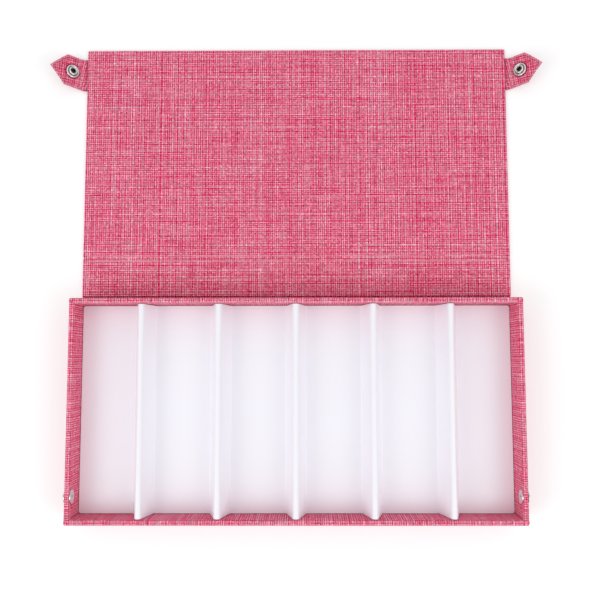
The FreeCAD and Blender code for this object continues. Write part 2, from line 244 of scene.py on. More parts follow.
def rounded(corners, steps=6):
    """Closed outline through (a, b, radius) corners, with an arc at each corner that has a radius."""
    outline = []
    for i, (a, b, radius) in enumerate(corners):
        here = Vector((a, b))
        if not radius:
            outline.append(here)
            continue
        back = (Vector(corners[i - 1][:2]) - here).normalized()
        ahead = (Vector(corners[(i + 1) % len(corners)][:2]) - here).normalized()
        half = back.angle(ahead) / 2
        centre = here + (back + ahead).normalized() * radius / math.sin(half)
        first = here + back * radius / math.tan(half) - centre
        turn = first.angle_signed(here + ahead * radius / math.tan(half) - centre)
        for step in range(steps + 1):
            arm = first.copy()
            arm.rotate(Matrix.Rotation(-turn * step / steps, 2))
            outline.append(centre + arm)
    return outline


def filled_in(outline, step, closed=True):
    """The outline with points added so that no side is longer than step."""
    points = []
    for here, there in zip(outline, outline[1:] + outline[:1] if closed else outline[1:]):
        count = max(1, math.ceil((there - here).length / step))
        points += [here.lerp(there, k / count) for k in range(count)]
    return points if closed else points + outline[-1:]


def drop(distance, radius):
    """How far a rounded edge of this radius lies under the flat, at a distance from the edge."""
    if distance >= radius:
        return 0.0
    return radius - math.sqrt(radius ** 2 - (radius - distance) ** 2)


def bell(distance, width):
    """1 at no distance, fading smoothly to nothing within about twice the width."""
    return math.exp(-(distance / width) ** 2)


def stations(low, high, step, end_radius=0.0, steps=6):
    """Places along a run, closer together where its ends are rounded."""
    start, stop = low + end_radius, high - end_radius
    count = max(1, math.ceil((stop - start) / step))
    middle = [start + (stop - start) * k / count for k in range(count + 1)]
    if not end_radius:
        return middle
    near = [end_radius * (1 - math.cos(math.pi / 2 * k / steps)) for k in range(steps)]
    return [low + d for d in near] + middle + [high - d for d in reversed(near)]


def new_object(name, points, faces, uvs):
    """Smooth-shaded object whose UV map holds the cloth's own coordinates in metres."""
    mesh = bpy.data.meshes.new(name)
    mesh.from_pydata([tuple(p) for p in points], [], faces)
    layer = mesh.uv_layers.new(name=UV_MAP)
    for item, uv in zip(layer.data, uvs):
        item.uv = uv
    work = bmesh.new()
    work.from_mesh(mesh)
    bmesh.ops.recalc_face_normals(work, faces=work.faces)
    work.to_mesh(mesh)
    work.free()
    mesh.polygons.foreach_set("use_smooth", [True] * len(mesh.polygons))
    mesh.set_sharp_from_angle(angle=SHARP_ANGLE)
    made = bpy.data.objects.new(name, mesh)
    bpy.context.scene.collection.objects.link(made)
    return made


def swept(name, runs, outline, place, closed=True, capped=True):
    """Shell of an outline swept along runs; place(run, a, b) says where each point goes."""
    count = len(outline)
    sides = count if closed else count - 1
    lengths = [0.0]
    for i in range(sides):
        lengths.append(lengths[-1] + (outline[(i + 1) % count] - outline[i]).length)
    points = [place(run, *p) for run in runs for p in outline]
    faces, uvs = [], []
    for i in range(len(runs) - 1):
        for j in range(sides):
            k = (j + 1) % count
            faces.append((i * count + j, (i + 1) * count + j, (i + 1) * count + k, i * count + k))
            uvs += [(runs[i], lengths[j]), (runs[i + 1], lengths[j]),
                    (runs[i + 1], lengths[j + 1]), (runs[i], lengths[j + 1])]
    for i in (0, len(runs) - 1) if capped else ():
        faces.append(tuple(i * count + j for j in range(count)))
        uvs += [tuple(p) for p in outline]
    return new_object(name, points, faces, uvs)


def turned(name, profile, matrix, segments):
    """Ring or disc turned about the matrix's Z from a closed outline of (radius, height) points."""
    count = len(profile)
    points, faces, uvs = [], [], []
    for i in range(segments):
        turn = 2 * math.pi * i / segments
        for radius, height in profile:
            points.append(matrix @ Vector((radius * math.cos(turn), radius * math.sin(turn), height)))
        for j in range(count):
            a, b = i * count, (i + 1) % segments * count
            k = (j + 1) % count
            faces.append((a + j, b + j, b + k, a + k))
            uvs += [(i / segments, j / count), ((i + 1) / segments, j / count),
                    ((i + 1) / segments, (j + 1) / count), (i / segments, (j + 1) / count)]
    made = new_object(name, points, faces, uvs)
    work = bmesh.new()
    work.from_mesh(made.data)
    bmesh.ops.remove_doubles(work, verts=work.verts, dist=SAME_POINT)
    work.to_mesh(made.data)
    work.free()
    return made


def mark(piece, label, values):
    """Stores at each point how worn the surface is, or how much highlight or shade is painted on it."""
    piece.data.attributes.new(label, "FLOAT", "POINT").data.foreach_set("value", values)


def mark_by(piece, label, amount):
    """Marks each point with amount(point)."""
    mark(piece, label, [amount(v.co) for v in piece.data.vertices])


def run_on(piece):
    """Lets the weave of the upward faces run on from piece to piece."""
    layer = piece.data.uv_layers[UV_MAP].data
    for face in piece.data.polygons:
        if face.normal.z > UPWARD:
            for i in face.loop_indices:
                layer[i].uv = piece.data.vertices[piece.data.loops[i].vertex_index].co.xy


def ripple(place, size, seed):
    """Smooth unevenness between -1 and 1 with features of about this size."""
    return noise.noise(Vector(place) / size + Vector((seed, SEED_SKEW * seed, 0.0)))


def dress(piece, material):
    piece.data.materials.append(material)


# Shader nodes

def add(tree, kind, inputs=None, **settings):
    """New node with its settings, values and links."""
    node = tree.nodes.new(kind)
    for key, value in settings.items():
        setattr(node, key, value)
    for key, value in (inputs or {}).items():
        if isinstance(value, bpy.types.NodeSocket):
            tree.links.new(value, node.inputs[key])
        else:
            node.inputs[key].default_value = value
    return node


def calc(tree, operation, *values):
    """Result of a math node."""
    return add(tree, "ShaderNodeMath", dict(enumerate(values)), operation=operation).outputs[0]


def vector_calc(tree, operation, first, second):
    """Result of a vector math node."""
    second_input = "Scale" if operation == "SCALE" else 1
    return add(tree, "ShaderNodeVectorMath", {0: first, second_input: second}, operation=operation).outputs[0]


def weighed(tree, first, second, second_share):
    """Mean of two values, with this share for the second."""
    return calc(tree, "ADD", calc(tree, "MULTIPLY", first, 1.0 - second_share),
                calc(tree, "MULTIPLY", second, second_share))


def grey(tree, value):
    """Grey colour of this value."""
    return add(tree, "ShaderNodeCombineXYZ", {axis: value for axis in "XYZ"}).outputs[0]


def bumped(tree, height, strength, distance):
    """Normal of a surface with this height."""
    values = {"Height": height, "Strength": strength, "Distance": distance}
    return add(tree, "ShaderNodeBump", values).outputs["Normal"]


def remap(tree, value, low, high, new_low=0.0, new_high=1.0, smooth=False):
    kind = "SMOOTHSTEP" if smooth else "LINEAR"
    limits = {"Value": value, "From Min": low, "From Max": high, "To Min": new_low, "To Max": new_high}
    return add(tree, "ShaderNodeMapRange", limits, interpolation_type=kind).outputs["Result"]


def mix_colour(tree, factor, first, second, blend="MIX"):
    values = {0: factor, 6: first, 7: second}
    return add(tree, "ShaderNodeMix", values, data_type="RGBA", blend_type=blend).outputs[2]


def new_group(name, inputs, outputs):
    """Node group with these sockets, and its input and output nodes."""
    tree = bpy.data.node_groups.new(name, "ShaderNodeTree")
    for label, kind in inputs:
        tree.interface.new_socket(label, in_out="INPUT", socket_type="NodeSocket" + kind)
    for label, kind in outputs:
        tree.interface.new_socket(label, in_out="OUTPUT", socket_type="NodeSocket" + kind)
    return tree, tree.nodes.new("NodeGroupInput"), tree.nodes.new("NodeGroupOutput")


def yarn_tone(tree, index, along, slub, dye_share, turn_share, seed):
    """Tone of a yarn from 0, deep, to 1, pale: its turn, its own dye, and slubs along its length."""
    apart = 5.37
    noise_low, noise_high = 0.24, 0.76
    slub_low, slub_high = 0.2, 0.8
    dye = add(tree, "ShaderNodeTexWhiteNoise", {"W": calc(tree, "ADD", index, seed)}, noise_dimensions="1D")
    place = add(tree, "ShaderNodeCombineXYZ", {"X": calc(tree, "MULTIPLY", index, apart),
                                               "Y": calc(tree, "DIVIDE", along, slub), "Z": seed})
    streak = add(tree, "ShaderNodeTexNoise", {"Vector": place.outputs[0], "Scale": 1.0, "Detail": 1.0,
                                              "Roughness": 0.5})
    slubs = remap(tree, streak.outputs["Fac"], noise_low, noise_high, slub_low, slub_high)
    own = weighed(tree, slubs, dye.outputs["Value"], dye_share)
    return weighed(tree, own, calc(tree, "FLOORED_MODULO", index, 2.0), turn_share)


def uneven_yarns(tree, place, seed):
    """Place across the yarns, counted in yarns and shifted so that some are thick and some thin."""
    waves_per_yarn, most_shift = 0.22, 2.2
    values = {"W": calc(tree, "ADD", place, seed), "Scale": waves_per_yarn, "Detail": 1.0}
    shift = add(tree, "ShaderNodeTexNoise", values, noise_dimensions="1D")
    return calc(tree, "ADD", place, calc(tree, "MULTIPLY", shift.outputs["Fac"], most_shift))


def slub_weave_group():
    """Plain weave of crimson and pale slub yarns on coordinates in metres."""
    wander_scale, wander_yarns = 70.0, 0.5
    over_lift, over_edge = 0.5, 0.15
    warp_under, warp_over = 0.35, 0.85
    fibre_share, fibre_dark, fibre_light = 0.14, 0.7, 1.3
    deep_end, pale_end = 0.387, 0.772
    gap_low, gap_high, gap_painted_shade = 0.15, 0.8, 0.75
    tree, given, result = new_group(
        "Slub weave",
        [("Place", "Vector"), ("Yarn pitch", "Float"), ("Slub length", "Float"),
         ("Deep", "Color"), ("Pale", "Color")],
        [("Color", "Color"), ("Height", "Float")])
    place, pitch = given.outputs["Place"], given.outputs["Yarn pitch"]
    wander = add(tree, "ShaderNodeTexNoise", {"Vector": place, "Scale": wander_scale, "Detail": 1.0})
    centred = vector_calc(tree, "SUBTRACT", wander.outputs["Color"], (0.5, 0.5, 0.5))
    offset = vector_calc(tree, "SCALE", centred, wander_yarns)
    cells = vector_calc(tree, "SCALE", place, calc(tree, "DIVIDE", 1.0, pitch))
    axes = add(tree, "ShaderNodeSeparateXYZ", {0: vector_calc(tree, "ADD", cells, offset)})
    across = uneven_yarns(tree, axes.outputs["X"], WARP["seed"])
    along = uneven_yarns(tree, axes.outputs["Y"], WEFT["seed"])
    warp, weft = calc(tree, "FLOOR", across), calc(tree, "FLOOR", along)
    slub = calc(tree, "DIVIDE", given.outputs["Slub length"], pitch)
    warp_tone = yarn_tone(tree, warp, along, slub, **WARP)
    weft_tone = yarn_tone(tree, weft, across, slub, **WEFT)

    wave_x = calc(tree, "SINE", calc(tree, "MULTIPLY", across, math.pi))
    wave_y = calc(tree, "SINE", calc(tree, "MULTIPLY", along, math.pi))
    over = calc(tree, "MULTIPLY", calc(tree, "MULTIPLY", wave_x, wave_y), over_lift)
    warp_height = calc(tree, "ADD", calc(tree, "ABSOLUTE", wave_x), over)
    weft_height = calc(tree, "SUBTRACT", calc(tree, "ABSOLUTE", wave_y), over)
    difference = calc(tree, "SUBTRACT", warp_height, weft_height)
    on_top = remap(tree, difference, -over_edge, over_edge, smooth=True)
    height = calc(tree, "MAXIMUM", warp_height, weft_height)

    crossing = add(tree, "ShaderNodeCombineXYZ", {"X": warp, "Y": weft})
    fibre = add(tree, "ShaderNodeTexWhiteNoise", {"Vector": crossing.outputs[0]}, noise_dimensions="2D")
    own = add(tree, "ShaderNodeSeparateColor", {0: fibre.outputs["Color"]})
    warp_share = remap(tree, on_top, 0.0, 1.0, warp_under, warp_over)
    yarn = add(tree, "ShaderNodeMix", {0: warp_share, 2: weft_tone, 3: warp_tone})
    tone = remap(tree, weighed(tree, yarn.outputs[0], own.outputs["Red"], fibre_share), deep_end, pale_end)
    dyed = mix_colour(tree, tone, given.outputs["Deep"], given.outputs["Pale"])
    # Painted shade in the gaps between the yarns, times a random brightness for each crossing
    gap = remap(tree, height, gap_low, gap_high, gap_painted_shade, 1.0)
    shade = calc(tree, "MULTIPLY", gap, remap(tree, own.outputs["Green"], 0.0, 1.0, fibre_dark, fibre_light))
    tree.links.new(mix_colour(tree, 1.0, dyed, grey(tree, shade), "MULTIPLY"), result.inputs["Color"])
    tree.links.new(height, result.inputs["Height"])
    return tree


def fine_grain_group():
    """Small scratches and mottling, as a mask and a height."""
    stretch, mottle_share = (1.0, 7.0, 1.0), 0.2
    tree, given, result = new_group("Fine grain", [("Place", "Vector"), ("Scale", "Float")],
                                    [("Mask", "Float"), ("Height", "Float")])
    place, scale = given.outputs["Place"], given.outputs["Scale"]
    scratches = add(tree, "ShaderNodeTexNoise", {"Vector": vector_calc(tree, "MULTIPLY", place, stretch),
                                                 "Scale": scale, "Detail": 4.0, "Roughness": 0.65})
    mottle = add(tree, "ShaderNodeTexNoise", {"Vector": place, "Detail": 2.0,
                                              "Scale": calc(tree, "MULTIPLY", scale, mottle_share)})
    mask = calc(tree, "MULTIPLY", scratches.outputs["Fac"], mottle.outputs["Fac"])
    tree.links.new(scratches.outputs["Fac"], result.inputs["Height"])
    tree.links.new(mask, result.inputs["Mask"])
    return tree


def shared_group(name, make):
    return bpy.data.node_groups.get(name) or make()


def fine_grain(tree, scale):
    """Mask and height of the fine grain, on the object's own coordinates."""
    place = add(tree, "ShaderNodeTexCoord").outputs["Object"]
    grain = add(tree, "ShaderNodeGroup", {"Place": place, "Scale": scale},
                node_tree=shared_group("Fine grain", fine_grain_group))
    return grain.outputs["Mask"], grain.outputs["Height"]


def new_material(name):
    """Empty material with its Principled BSDF linked to the output."""
    made = bpy.data.materials.new(name)
    made.use_nodes = True
    return made, made.node_tree, made.node_tree.nodes["Principled BSDF"]


def link_all(tree, shader, links):
    """Links what changes over the surface to the shader."""
    for key, value in links.items():
        tree.links.new(value, shader.inputs[key])


def opaque(value, shade=1.0):
    return (*(shade * c for c in value), 1.0)


def slub_cloth(settings):
    """Pink slub cloth: paler where it is worn and where a highlight is painted, darker where shade is painted."""
    known = bpy.data.materials.get("Slub cloth")
    if known:
        return known
    painted_shade_colour = 0.35
    made, tree, shader = new_material("Slub cloth")
    values = {"Place": add(tree, "ShaderNodeUVMap", uv_map=UV_MAP).outputs["UV"],
              "Yarn pitch": settings.yarn_pitch, "Slub length": settings.slub_length,
              "Deep": opaque(settings.deep_yarn), "Pale": opaque(settings.pale_yarn)}
    weave = add(tree, "ShaderNodeGroup", values, node_tree=shared_group("Slub weave", slub_weave_group))
    wear = add(tree, "ShaderNodeAttribute", attribute_name=WEAR_AND_PAINTED_LIGHT).outputs["Fac"]
    # Painted shade: the colour is taken towards a darkened deep yarn where painted shade is marked
    seam = add(tree, "ShaderNodeAttribute", attribute_name=PAINTED_SHADE).outputs["Fac"]
    worn = mix_colour(tree, wear, weave.outputs["Color"], opaque(settings.pale_yarn))
    painted_shaded = mix_colour(tree, seam, worn, opaque(settings.deep_yarn, painted_shade_colour))
    link_all(tree, shader, {"Base Color": painted_shaded,
                            "Normal": bumped(tree, weave.outputs["Height"], 0.5, 0.15 * MM)})
    shader.inputs["Roughness"].default_value = settings.roughness
    shader.inputs["Specular IOR Level"].default_value = 0.1
    return made


def formed_sheet(settings, floor, top):
    """White formed sheet with a satin skin, greyed by painted shade towards the crests of its ridges."""
    cloud_shade = 0.985
    cloud_low, cloud_high = 0.3, 0.7
    smoother, rougher = 0.9, 1.1
    made, tree, shader = new_material("Formed sheet")
    place = add(tree, "ShaderNodeTexCoord").outputs["Object"]
    skin = add(tree, "ShaderNodeTexNoise", {"Vector": place, "Scale": 900.0, "Detail": 2.0}).outputs["Fac"]
    cloud = add(tree, "ShaderNodeTexNoise", {"Vector": place, "Scale": 25.0, "Detail": 2.0}).outputs["Fac"]
    tint = mix_colour(tree, cloud, opaque(settings.sheet_colour, cloud_shade), opaque(settings.sheet_colour))
    height = add(tree, "ShaderNodeSeparateXYZ", {0: place}).outputs["Z"]
    painted_crest_factor = remap(tree, height, floor + MM, top, 1.0, settings.painted_crest_shade)
    rough = remap(tree, cloud, cloud_low, cloud_high,
                  settings.roughness * smoother, settings.roughness * rougher)
    link_all(tree, shader, {"Base Color": mix_colour(tree, 1.0, tint, grey(tree, painted_crest_factor), "MULTIPLY"),
                            "Roughness": rough, "Normal": bumped(tree, skin, 0.12, 0.05 * MM)})
    shader.inputs["IOR"].default_value = 1.48
    return made


def plated_metal(name, value, roughness, dark):
    """Plated metal with fine scratches, taken towards the dark colour where shade is painted on it."""
    known = bpy.data.materials.get(name)
    if known:
        return known
    grain_scale, grain_shade = 1500.0, 0.9
    grain_low, grain_high = 0.1, 0.4
    smoother, rougher = 0.7, 1.4
    made, tree, shader = new_material(name)
    mask, height = fine_grain(tree, grain_scale)
    tint = mix_colour(tree, mask, opaque(value, grain_shade), opaque(value))
    shade_painted = add(tree, "ShaderNodeAttribute", attribute_name=WEAR_AND_PAINTED_LIGHT).outputs["Fac"]
    rough = remap(tree, mask, grain_low, grain_high, roughness * smoother, roughness * rougher)
    link_all(tree, shader, {"Base Color": mix_colour(tree, shade_painted, tint, opaque(dark)),
                            "Roughness": rough, "Normal": bumped(tree, height, 0.05, 0.02 * MM)})
    shader.inputs["Metallic"].default_value = 1.0
    return made


def grey_board():
    """Grey board with the mottle of recycled fibres."""
    dark, light, grain_scale = (0.20, 0.19, 0.17), (0.36, 0.34, 0.31), 400.0
    made, tree, shader = new_material("Grey board")
    mask, height = fine_grain(tree, grain_scale)
    link_all(tree, shader, {"Base Color": mix_colour(tree, mask, opaque(dark), opaque(light)),
                            "Normal": bumped(tree, height, 0.3, 0.1 * MM)})
    shader.inputs["Roughness"].default_value = 0.9
    return made


# Pieces

def covered_wall(name, node, axis, side, cloth, rivet=None, painted_edge_light=0.0):
    """Cloth over a tray wall: up its inner face, over the rim and down its outer face."""
    under_side, under_rim = 0.06 * MM, 0.04 * MM
    rim_end_share, inner_share = 0.8, 0.5
    fade_length, dimple_size = 8 * MM, 9 * MM
    ripple_size, ripple_seed = 18 * MM, 7.0 + side + 3 * axis
    spot_size, spot_seed, spot_wear = 6 * MM, 5.0, 0.25
    low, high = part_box(node)
    other = 1 - axis
    inner, outer = (low[other], high[other]) if side > 0 else (high[other], low[other])
    wall, top = abs(outer - inner), high.z
    round_over = cloth.rim_round
    corners = [(0, low.z, 0), (0, top, round_over), (wall, top, round_over), (wall, low.z, 0)]
    outline = filled_in(rounded(corners), RIM_STEP, closed=False)
    end_round = cloth.corner_round if axis == 0 else 0.0
    tucked = 0.0 if axis == 0 else round_over

    def place(run, across, z):
        """Point of the cloth; a side wall's cloth ends tucked under the front and back rims."""
        end = min(run - low[axis], high[axis] - run)
        if end < 0:
            across = min(across, wall - under_side)
            z = min(z, top - under_rim)
            end = 0.0
        rim_drop = drop(end, end_round * rim_end_share)
        if z > top - round_over:
            z -= rim_drop
        if across > wall / 2:
            across -= drop(end, end_round)
        fade = min(1.0, end / fade_length) * min(1.0, (z - low.z) / fade_length)
        uneven = ripple((run, across * 2, z), ripple_size, ripple_seed) * cloth.rim_ripple * fade
        if z > top - 2 * round_over:
            z -= abs(uneven)
        elif rivet:
            pull = bell((Vector((run, z)) - rivet).length, dimple_size) * cloth.rivet_dimple
            across += pull if across < wall / 2 else -pull
        if across < wall / 2:
            across += inner_share * abs(uneven)
        point = Vector((0, 0, z))
        point[axis] = run
        point[other] = inner + side * across
        return point

    def worn(p):
        """Pale spots of wear on the rim, and a painted highlight along its inner edge."""
        spots = spot_wear * max(0.0, ripple(p, spot_size, spot_seed)) if p.z > top - round_over else 0.0
        # Painted highlight along the rim's inner edge
        from_edge = abs(p.z - (top - round_over)) / round_over
        on_inner = side * (p[other] - inner) < wall / 2
        return min(1.0, spots + (painted_edge_light * max(0.0, 1.0 - from_edge) if on_inner else 0.0))

    runs = stations(low[axis] - tucked, high[axis] + tucked, WALL_STEP, end_round)
    piece = swept(name, runs, outline, place, closed=False, capped=axis == 0)
    mark_by(piece, WEAR_AND_PAINTED_LIGHT, worn)
    dress(piece, slub_cloth(cloth))
    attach(piece, "tray")
    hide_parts(node)


def panel_place(half_width, cloth, groove, thickness_at, free_end):
    """Placing rule of a panel's shell: rounded sides, and rounded corners at its free end."""
    corner_reach = 6 * MM

    def place(x, y, z):
        edge = half_width - abs(x)
        middle = (cloth.thickness if groove[0] < y < groove[1] else thickness_at(y)) / 2
        z = middle + (z - middle) * (1 - drop(edge, min(cloth.edge_round, middle)) / middle)
        reach = max(0.0, 1 - abs(y - free_end) / corner_reach)
        y += math.copysign(drop(edge, cloth.panel_corner), -free_end) * reach
        return Vector((x, y, z))

    return place


def finer_near(outline, low, high, step):
    """The outline with points added on its sides between low and high, for a fold."""
    points = []
    for i, here in enumerate(outline):
        there = outline[(i + 1) % len(outline)]
        middle = (here.x + there.x) / 2
        count = math.ceil((there - here).length / step) if low < middle < high else 1
        points += [here.lerp(there, k / count) for k in range(max(1, count))]
    return points


def base_cover(cloth, lining):
    """Outer cloth of the base and of the near half of the spine, with the fold between them."""
    low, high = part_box("base_cloth")
    board_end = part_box("base_board")[1].y
    spine_low, spine_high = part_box("spine_board")
    fold = fold_point("spine_hinge")
    middle = (spine_low.y + spine_high.y) / 2
    base_top = high.z
    spine_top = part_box("spine_cloth")[1].z - lining.thickness
    outline = rounded([(low.y, 0, cloth.edge_round), (middle, 0, 0), (middle, spine_top, 0),
                       (spine_low.y, spine_top, 0), (spine_low.y, cloth.fold_fill, 0),
                       (board_end, cloth.fold_fill, 0), (board_end, base_top, 0), (low.y, base_top, 0)])
    outline = finer_near(filled_in(outline, PANEL_EDGE_STEP), board_end, spine_low.y + MM, FOLD_STEP)
    place = panel_place(high.x, cloth, (board_end, spine_low.y),
                        lambda y: base_top if y < fold.y else spine_top, low.y)
    piece = swept("base_cover", stations(low.x, high.x, PANEL_STEP, cloth.edge_round), outline, place)
    dress(piece, slub_cloth(cloth))
    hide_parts("base_cloth")
    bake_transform(piece)


def lid_cover(cloth, lining):
    """Outer cloth of the lid and of the far half of the spine, turned in round the lid's edges."""
    under_lining, groove_floor, side_width = 0.03 * MM, 0.9 * cloth.thickness, 1.01 * cloth.edge_round
    spot_size, spot_seed, spot_wear = 5 * MM, 2.0, 0.2
    low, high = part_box("lid_cloth")
    spine_end, lid_start = lid_groove()
    fold = fold_point("lid_hinge")
    middle = (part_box("spine_board")[0].y + spine_end) / 2
    top = high.z - lining.thickness
    outline = rounded([(middle, 0, 0), (high.y, 0, cloth.edge_round), (high.y, top, cloth.edge_round),
                       (lid_start, top, 0), (lid_start, cloth.thickness, 0), (spine_end, cloth.thickness, 0),
                       (spine_end, top, 0), (middle, top, 0)])
    outline = finer_near(filled_in(outline, PANEL_EDGE_STEP), spine_end - MM, lid_start + MM, FOLD_STEP)
    on_panel = panel_place(high.x, cloth, (spine_end, lid_start), lambda y: top, high.y)

    def place(x, y, z):
        """Points of the panel; the turned-in cloth closes the groove at the panel's sides."""
        point = on_panel(x, y, z)
        edge = high.x - abs(x)
        if spine_end < y < lid_start and z > groove_floor and edge < side_width:
            side_drop = drop(edge, cloth.edge_round)
            point.z = max(point.z, top - groove_dip(y, lining) - under_lining - side_drop)
        return point

    def worn(p):
        """Pale spots along the panel's sides."""
        return spot_wear * max(0.0, ripple(p, spot_size, spot_seed)) if high.x - abs(p.x) < MM else 0.0

    piece = swept("lid_cover", stations(low.x, high.x, PANEL_STEP, cloth.edge_round), outline, place)
    run_on(piece)
    mark_by(piece, WEAR_AND_PAINTED_LIGHT, worn)
    dress(piece, slub_cloth(cloth))
    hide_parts("lid_cloth", "spine_cloth")
    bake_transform(piece)


def lid_groove():
    """Where the groove at the lid's fold starts and ends."""
    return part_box("spine_board")[1].y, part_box("lid_board")[0].y


def groove_dip(y, lining):
    """How far the lining dips into the groove at the lid's fold."""
    start, end = lid_groove()
    across = (y - start) / (end - start)
    return lining.fold_dip * math.sin(math.pi * across) ** 2 if 0 < across < 1 else 0.0


def case_lining(cloth, lining):
    """Lining of the spine and the lid in one sheet, dipping into the groove at the lid's fold."""
    hem, near_groove = 0.3 * MM, 6 * MM
    crease_place, crease_width, cut_edge = 0.2 * MM, 0.5 * MM, 0.05 * MM
    patch_size, patch_seed, least_wear, patch_wear = 9 * MM, 11.0, 0.35, 0.45
    low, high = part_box("lid_lining")
    groove = lid_groove()
    start, end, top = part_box("spine_lining")[0].y, high.y, high.z
    under = top - lining.thickness
    corners = ((start, under), (end, under), (end, top), (end - hem, top), (start, top))
    outline = filled_in([Vector(corner) for corner in corners], PANEL_EDGE_STEP)
    outline = finer_near(outline, groove[0] - near_groove, groove[1] + near_groove, DIP_STEP)
    runs = [low.x] + stations(low.x + hem, high.x - hem, PANEL_STEP) + [high.x]
    creases = [groove[0] - crease_place, groove[1] + crease_place]

    def worn(p):
        """Patchy wear along the groove's two creases and the sheet's cut edges."""
        crease = max(bell(p.y - place, crease_width) for place in creases)
        edge = 1.0 if min(high.x - abs(p.x), end - p.y) < cut_edge else 0.0
        patchy = least_wear + patch_wear * ripple(p, patch_size, patch_seed)
        return min(1.0, max(0.0, max(crease, edge) * patchy))

    piece = swept("case_lining", runs, outline, lambda x, y, z: Vector((x, y, z - groove_dip(y, lining))))
    run_on(piece)
    mark_by(piece, WEAR_AND_PAINTED_LIGHT, worn)
    dress(piece, slub_cloth(cloth))
    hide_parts("lid_lining", "spine_lining")
    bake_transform(piece)


def ridge_profile(half_base, height, crest_radius, foot_radius, depth, steps=10):
    """Half of a ridge at a depth under its upper skin, from its foot up to its crest line."""
    crest = Vector((0, height - crest_radius))
    foot = Vector((half_base, foot_radius))
    between = foot - crest
    lean = math.acos((crest_radius + foot_radius) / between.length)
    flank = math.atan2(between.y, between.x) + lean

    def on(centre, radius, turn):
        return centre + Vector((math.cos(turn), math.sin(turn))) * radius

    down = -math.pi / 2
    foot_turns = [down + (flank - math.pi - down) * k / steps for k in range(steps + 1)]
    crest_turns = [flank + (math.pi / 2 - flank) * k / steps for k in range(steps + 1)]
    return ([on(foot, foot_radius + depth, turn) for turn in foot_turns]
            + [on(crest, crest_radius - depth, turn) for turn in crest_turns])


def insert_skin(ends, middles, half_base, floor, height, settings, depth):
    """Upper or under side of the formed sheet, from left to right, with a ridge at each of the middles."""
    half = ridge_profile(half_base, height, settings.crest_radius, settings.foot_radius, depth)
    points = [Vector((ends[0], floor - depth))]
    for middle in middles:
        points += [Vector((middle - p.x, floor + p.y)) for p in half]
        points += [Vector((middle + p.x, floor + p.y)) for p in reversed(half[:-1])]
    return points + [Vector((ends[1], floor - depth))]


def row_insert(settings):
    """White sheet with a hollow ridge between each two rows."""
    corner_reach, still_height = 5 * MM, 8 * MM
    sway_size, sway_seed, sway_stretch = 45 * MM, 3.0, 0.2
    sag_size, sag_seed = 30 * MM, 9.0
    low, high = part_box("divider_insert")
    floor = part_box("tray_floor_board")[1].z + settings.thickness
    rows = [opening["box_m"] for opening in frame["record"]["physics"]["openings"]]
    middles = [(left[1][0] + right[0][0]) / 2 for left, right in zip(rows, rows[1:])]
    half_base = (len(rows) * (middles[1] - middles[0]) - (high.x - low.x)) / 2
    skins = [insert_skin((low.x, high.x), middles, half_base, floor, high.z - floor, settings, depth)
             for depth in (0.0, settings.thickness)]
    outline = filled_in(skins[0] + skins[1][::-1], INSERT_STEP)

    def place(y, x, z):
        end = min(y - low.y, high.y - y)
        side = min(x - low.x, high.x - x)
        reach = max(0.0, 1 - side / corner_reach)
        x -= math.copysign(drop(end, settings.corner_round), x) * reach
        uneven = settings.warp * min(1.0, (z - low.z) / still_height)
        x += ripple((x * sway_stretch, y, 0), sway_size, sway_seed) * uneven
        z -= abs(ripple((x, y, 0), sag_size, sag_seed)) * uneven
        return Vector((x, y, z))

    piece = swept("row_insert", stations(low.y, high.y, INSERT_STEP, settings.corner_round), outline, place)
    dress(piece, formed_sheet(settings, floor, high.z))
    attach(piece, "tray")
    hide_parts("divider_insert")


def tab_frame(name, side):
    """Matrix of a tab's fold at rest: X along the tab, Z out of its inner face."""
    lift = tab_lift()
    along = Vector((side * math.cos(lift), 0, math.sin(lift)))
    out = Vector((-side * math.sin(lift), 0, math.cos(lift)))
    matrix = Matrix((along, out.cross(along), out)).transposed().to_4x4()
    matrix.translation = fold_point(f"{name}_tab_fold")
    return matrix


def on_tab(name, side, node):
    """Points of a tab's solid in the tab's own plane."""
    flatten = tab_frame(name, side).inverted()
    return [flatten @ v.co for v in frame["nodes"][f"{name}_{node}"].data.vertices]


def corners_of(points):
    """Lowest and highest corners of some points."""
    return [Vector(pick(p[axis] for p in points) for axis in range(3)) for pick in (min, max)]


